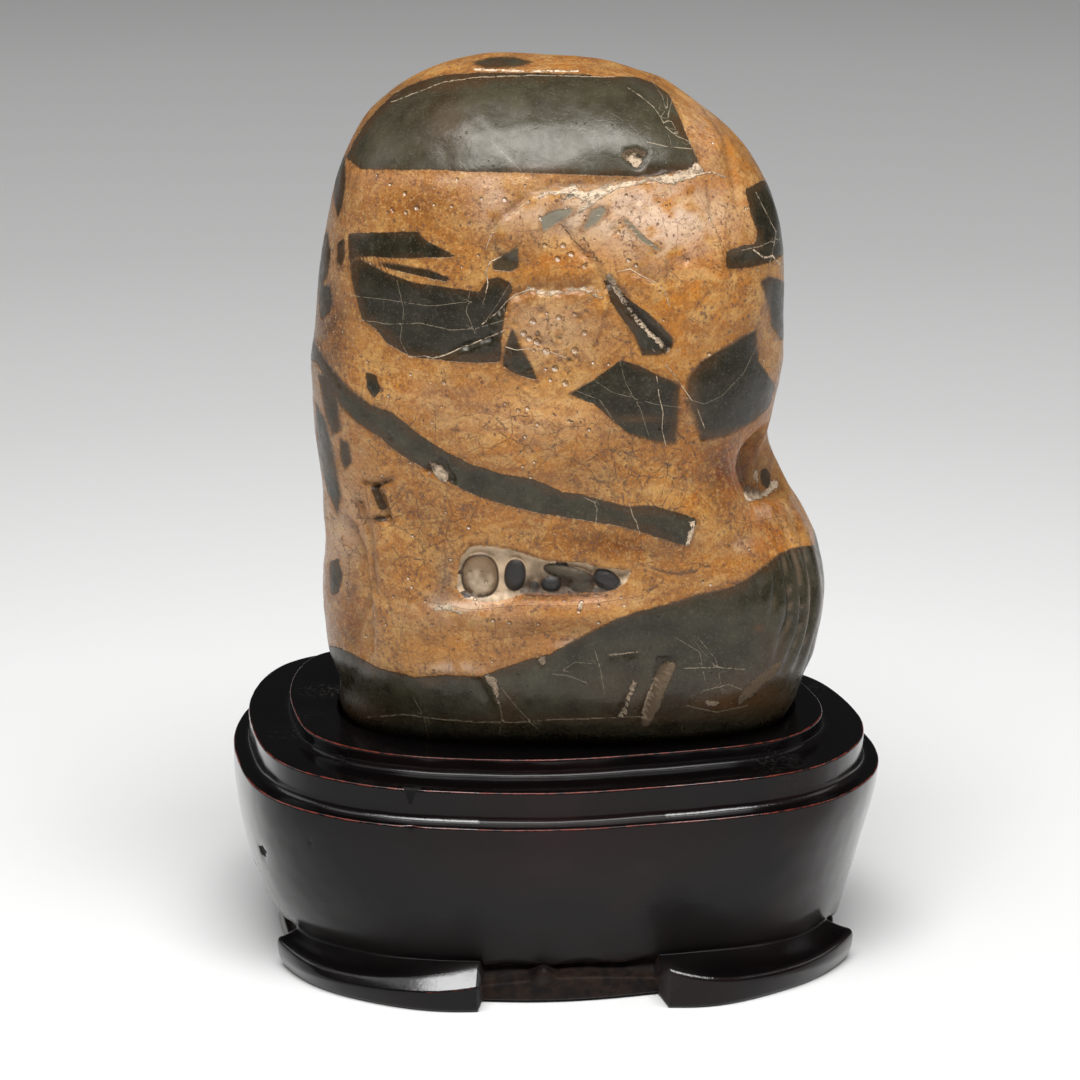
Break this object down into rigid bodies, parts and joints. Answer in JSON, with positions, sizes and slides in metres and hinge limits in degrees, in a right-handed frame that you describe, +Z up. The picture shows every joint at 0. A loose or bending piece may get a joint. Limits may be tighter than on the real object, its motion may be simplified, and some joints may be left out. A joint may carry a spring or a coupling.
{
  "type": "scholars rock on a wooden stand",
  "caption": "Upright polished breccia scholar's rock with ledges and a pebble hollow, resting in the fitted socket of a stepped, lacquered wooden stand on carved feet.",
  "frame": {"origin": "on the ground under the middle of the stand", "axes": "+Z up, -Y is the front face of the stone, +X to the right seen from the front"},
  "size_m": [0.178, 0.1231, 0.2469],
  "materials": {
    "polished_breccia": "hand-polished ochre breccia with dark green-grey fragments, cream crusts and small pits, satin to glossy",
    "black_brown_lacquer": "black-brown lacquer, satin, worn to red along the tier edges"
  },
  "bodies": {
    "root": {"scholars_rock": "polished_breccia", "wooden_stand": "black_brown_lacquer"}
  },
  "joints": []
}
